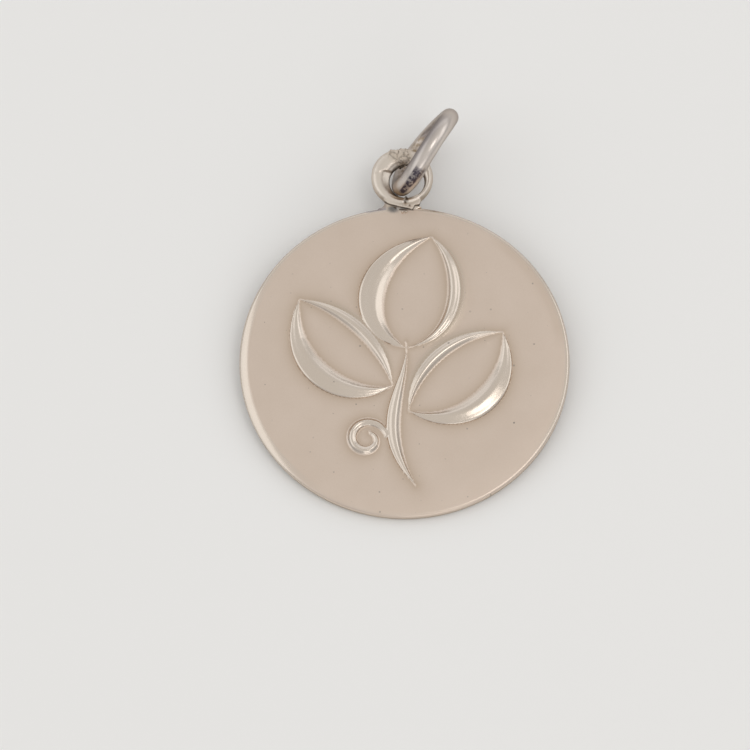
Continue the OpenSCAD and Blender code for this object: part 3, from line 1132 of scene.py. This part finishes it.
def pendant_material():
    """Satin face with tiny pits, polished relief, brown tarnish with painted shade, dirt and painted
    shadow in corners, grey solder.
    """
    material, n = new_material("satin_silver")
    place = n.attribute("place", "Vector")
    polish = n.attribute("polish")
    cloud = n.noise(place, *CLOUDS)
    grain = n.noise(place, *GRAIN)
    pit = pits(n, place)
    silver = n.mix(n.attribute("wire"), n.mix(polish, FACE_SILVER, POLISHED_SILVER), WIRE_SILVER)
    mottle = n.math("ADD", n.times(cloud, CLOUD_TARNISH), n.times(grain, GRAIN_TARNISH))
    colour = n.mix(mottle, silver, TARNISH_AND_SHADE_BROWN)
    for name, strength, coat in COATS:
        colour = n.mix(n.times(n.attribute(name), strength), colour, coat)
    colour = n.mix(pit, colour, PIT_GREY)
    rough = n.add("Mix", {
        0: polish, 2: n.spread(grain, SATIN_ROUGH), 3: n.spread(cloud, BRIGHT_ROUGH)})
    height = n.times(grain, GRAIN_HEIGHT)
    for stretch, turn in SCRATCHES:
        height = n.math("ADD", n.stretched_noise(place, stretch, turn, *SCRATCH_NOISE), height)
    height = n.math("SUBTRACT", height, n.times(pit, PIT_SINK))
    n.worn_metal(colour, SILVER_TINT, rough.outputs[0], height, SCRATCH_BUMP)
    return material


RING_SILVER = (0.73, 0.665, 0.61)
RING_DULL = (0.63, 0.565, 0.52)
RING_BROWN = (0.34, 0.26, 0.185)
RING_AMBER = (0.45, 0.33, 0.225)
# Dark for the painted reflection and shade on the ring, and for its seam
RING_DARK = (0.10, 0.085, 0.105)
RING_TINT = (0.55, 0.52, 0.50)
RING_ROUGH = (0.24, 0.34)
RING_CLOUDS = (0.8, 4)
RING_GRAIN = (9, 3)
RIPPLES = (3.4, 3)
# The brown tarnish and the painted dark reflection are broken up by ripples: strength, and the noise's
# band
BROWN_RIPPLE = ((0.35, 1.0), (0.38, 0.60))
DARK_RIPPLE = ((0.45, 1.0), (0.40, 0.50))
RIPPLE_BUMP = (0.4, 0.000005)


def ring_material():
    """Worn polished wire with brown ripples on its inside, amber tarnish, and painted dark reflection
    and shade.
    """
    material, n = new_material("polished_silver")
    place = n.attribute("place", "Vector")
    cloud = n.noise(place, *RING_CLOUDS)
    grain = n.noise(place, *RING_GRAIN)
    ripple = n.noise(place, *RIPPLES)
    brown = n.times(n.attribute("inner"), n.spread(ripple, *BROWN_RIPPLE))
    dark = n.times(n.attribute("dark"), n.spread(ripple, *DARK_RIPPLE))
    colour = n.mix(cloud, RING_SILVER, RING_DULL)
    colour = n.mix(brown, colour, RING_BROWN)
    colour = n.mix(n.attribute("amber"), colour, RING_AMBER)
    # Painted dark reflection beside the ring's low end
    colour = n.mix(dark, colour, RING_DARK)
    # Painted shade on the near half's edge and on the far half, with the ring's dark seam
    colour = n.mix(n.attribute("edge"), colour, RING_DARK)
    height = n.math("ADD", cloud, grain)
    n.worn_metal(colour, RING_TINT, n.spread(cloud, RING_ROUGH), height, RIPPLE_BUMP)
    return material


# Wear of the jump ring, and painted reflection and shade on it, with pairs as above, but in wire radii
# for the inner side
INNER_SIDE = (0.25, 0.75)
AMBER_FROM = (148, 164)
AMBER_TO = (194, 183)
AMBER_DOWN = (0.62, -0.08)
# Painted dark reflection, a wedge: start and length, then its upper and lower edge and how each moves
# over that length
WEDGE_AT = 186
WEDGE_LENGTH = 40
WEDGE_UPPER = (-0.08, 0.24)
WEDGE_LOWER = (-0.40, -0.16)
WEDGE_FROM = (184, 189)
WEDGE_TO = (236, 226)
# Painted shade on the edge of the near half, round the wire's section and round the ring, and on the
# far half
EDGE_DARK = 0.68
EDGE_SECTION = ((5, 85), (170, 150))
EDGE_ROUND = ((192, 206), (320, 300))
FAR_DARK = 0.55
FAR_START = (62, 48)
FAR_SIDE = (85, 125)
FAR_END = (195, 150)
SEAM_DARK = 0.9


def write_ring_wear_and_shade(made):
    """Stores where the ring is brown and amber, where dark reflection and shade are painted on it, and
    its seam.
    """
    co = points_of(made)
    z = co[:, 2]
    radius = np.hypot(co[:, 0], co[:, 1])
    wire = RING_WIRE / 2
    inner = fade(INNER_SIDE, (RING_OD / 2 - wire - radius) / wire)
    around = np.degrees(np.arctan2(co[:, 1], co[:, 0])) % 360
    section = np.degrees(np.arctan2(z, radius - (RING_OD / 2 - wire))) % 360
    amber = fade(AMBER_TO, around) * fade(AMBER_FROM, around) * fade(AMBER_DOWN, z)
    share = (around - WEDGE_AT) / WEDGE_LENGTH
    upper = WEDGE_UPPER[0] + WEDGE_UPPER[1] * share
    lower = WEDGE_LOWER[0] + WEDGE_LOWER[1] * share
    dark = smoothstep(upper + 0.06, upper - 0.02, z) * smoothstep(lower - 0.06, lower, z)
    dark = dark * fade(WEDGE_FROM, around) * fade(WEDGE_TO, around)
    edge = EDGE_DARK
    for band in EDGE_SECTION:
        edge = edge * fade(band, section)
    for band in EDGE_ROUND:
        edge = edge * fade(band, around)
    far = np.maximum(fade(FAR_START, around) * inner, 0.5 * fade(FAR_SIDE, around))
    far = FAR_DARK * far * fade(FAR_END, around)
    seam = SEAM_DARK * np.exp(-((around - RING_SEAM) / SEAM_WIDTH) ** 2) * (z < 0.0)
    store(made, "place", co)
    store(made, "inner", inner)
    store(made, "amber", amber)
    store(made, "dark", dark)
    # Painted shade on the edge and the far half, with the seam
    store(made, "edge", np.maximum(np.maximum(edge, far), seam))


# Pieces

def make_pendant():
    made = pendant_object()
    write_wear_and_shade(made)
    made.data.transform(TO_PART)
    shade(made, PENDANT_CRISP)
    made.data.materials.append(pendant_material())
    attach(made, "root")
    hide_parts("pendant_disc")


def make_ring():
    made = mesh_object("chain_ring", jump_ring_mesh())
    write_ring_wear_and_shade(made)
    made.data.transform(ring_to_part())
    shade(made, RING_CRISP)
    made.data.materials.append(ring_material())
    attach(made, "root")
    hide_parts("jump_ring")


# Stage

# Photograph: its side and the disc's middle in pixels, its scale, and the camera's angle from
# the face's normal in degrees and distance in metres
PHOTO_SIZE = 750
DISC_AT = (404.5, 361.9)
PIXELS_PER_MM = 13.2065
FACE_TO_CAMERA = 19.93
CAMERA_AWAY = 0.42
SENSOR = 36.0
FLOOR_HALF = 1.5
FLOOR_GREY = (0.90, 0.89, 0.875)
# Lights, all at one distance: name, way to it, width and height, power and colour
LIGHT_AWAY = 0.6
LIGHTS = [
    ("key", (0.40, -0.20, 0.89), (0.22, 0.22), 0.24, (1.0, 0.99, 0.98)),
    ("east", (0.81, 0.25, 0.53), (0.50, 0.28), 0.25, (0.97, 0.99, 1.0)),
    ("front", (0.22, -0.91, 0.34), (0.36, 0.22), 0.20, (1.0, 0.99, 0.97)),
    ("left", (-0.86, 0.07, 0.50), (0.75, 0.42), 0.44, (0.95, 0.985, 1.0)),
    ("north", (-0.05, 0.93, 0.36), (0.90, 0.28), 0.25, (0.93, 0.96, 1.0)),
]
# Studio's walls and ceiling: height as a share of the way up, and colour
WORLD = [
    (0.0, (0.40, 0.40, 0.405)),
    (0.20, (0.53, 0.53, 0.53)),
    (0.45, (0.70, 0.70, 0.70)),
    (1.0, (0.74, 0.73, 0.71)),
]


def aim(name, data, place, way):
    """Puts a camera or a light at a place, facing against a way."""
    made = bpy.data.objects.new(name, data)
    scene.collection.objects.link(made)
    made.location = place
    made.rotation_mode = "QUATERNION"
    made.rotation_quaternion = (-way).to_track_quat("-Z", "Y")
    return made


def make_camera():
    """Camera at the photograph's angle, with the disc at its place in the photograph."""
    tilt = math.degrees(math.atan2(-TO_PART[1][2], TO_PART[2][2]))
    low = math.radians(90 - FACE_TO_CAMERA - tilt)
    back = Vector((0, -math.cos(low), math.sin(low)))
    up = Vector((0, math.sin(low), math.cos(low)))
    middle = PHOTO_SIZE / 2
    right_mm = (middle - DISC_AT[0]) / PIXELS_PER_MM
    up_mm = (DISC_AT[1] - middle) / PIXELS_PER_MM
    target = TO_PART.translation + Vector((right_mm * MM, 0, 0)) + up * (up_mm * MM)
    data = bpy.data.cameras.new("camera")
    data.sensor_width = SENSOR
    data.lens = SENSOR * CAMERA_AWAY / (PHOTO_SIZE / PIXELS_PER_MM * MM)
    data.clip_start = 0.01
    data.clip_end = 10
    bpy.context.scene.camera = aim("camera", data, target + back * CAMERA_AWAY, back)


def make_floor():
    corners = [(x * FLOOR_HALF, y * FLOOR_HALF, 0) for x, y in ((-1, -1), (1, -1), (1, 1), (-1, 1))]
    made = mesh_object("floor", (corners, [(0, 1, 2, 3)]))
    material, n = new_material("floor")
    shader = n.add("BsdfPrincipled", {"Base Color": (*FLOOR_GREY, 1), "Roughness": 0.85})
    n.add("OutputMaterial", {0: shader.outputs[0]})
    made.data.materials.append(material)


def area_light(name, way, size, power, colour):
    """Soft rectangular light that faces the pendant from a direction."""
    data = bpy.data.lights.new(name, "AREA")
    data.shape = "RECTANGLE"
    data.size, data.size_y = size
    data.energy = power
    data.color = colour
    way = Vector(way).normalized()
    aim(name, data, way * LIGHT_AWAY, way)


def make_world():
    """Pale studio round the pendant, darker towards the floor."""
    world = bpy.data.worlds.new("studio")
    scene.world = world
    world.use_nodes = True
    n = Nodes(world.node_tree)
    way = n.add("TexCoord").outputs["Generated"]
    ramp = n.add("ValToRGB", {0: n.add("SeparateXYZ", {0: way}).outputs[2]})
    points = ramp.color_ramp.elements
    while len(points) < len(WORLD):
        points.new(0.5)
    for point, (height, colour) in zip(points, WORLD):
        point.position = height
        point.color = (*colour, 1)
    back = n.add("Background", {"Color": ramp.outputs[0], "Strength": 1.0})
    n.add("OutputWorld", {0: back.outputs[0]})


scene.view_settings.view_transform = "Standard"
scene.cycles.use_denoising = True

make_camera()
make_floor()
for light in LIGHTS:
    area_light(*light)
make_world()
make_pendant()
make_ring()
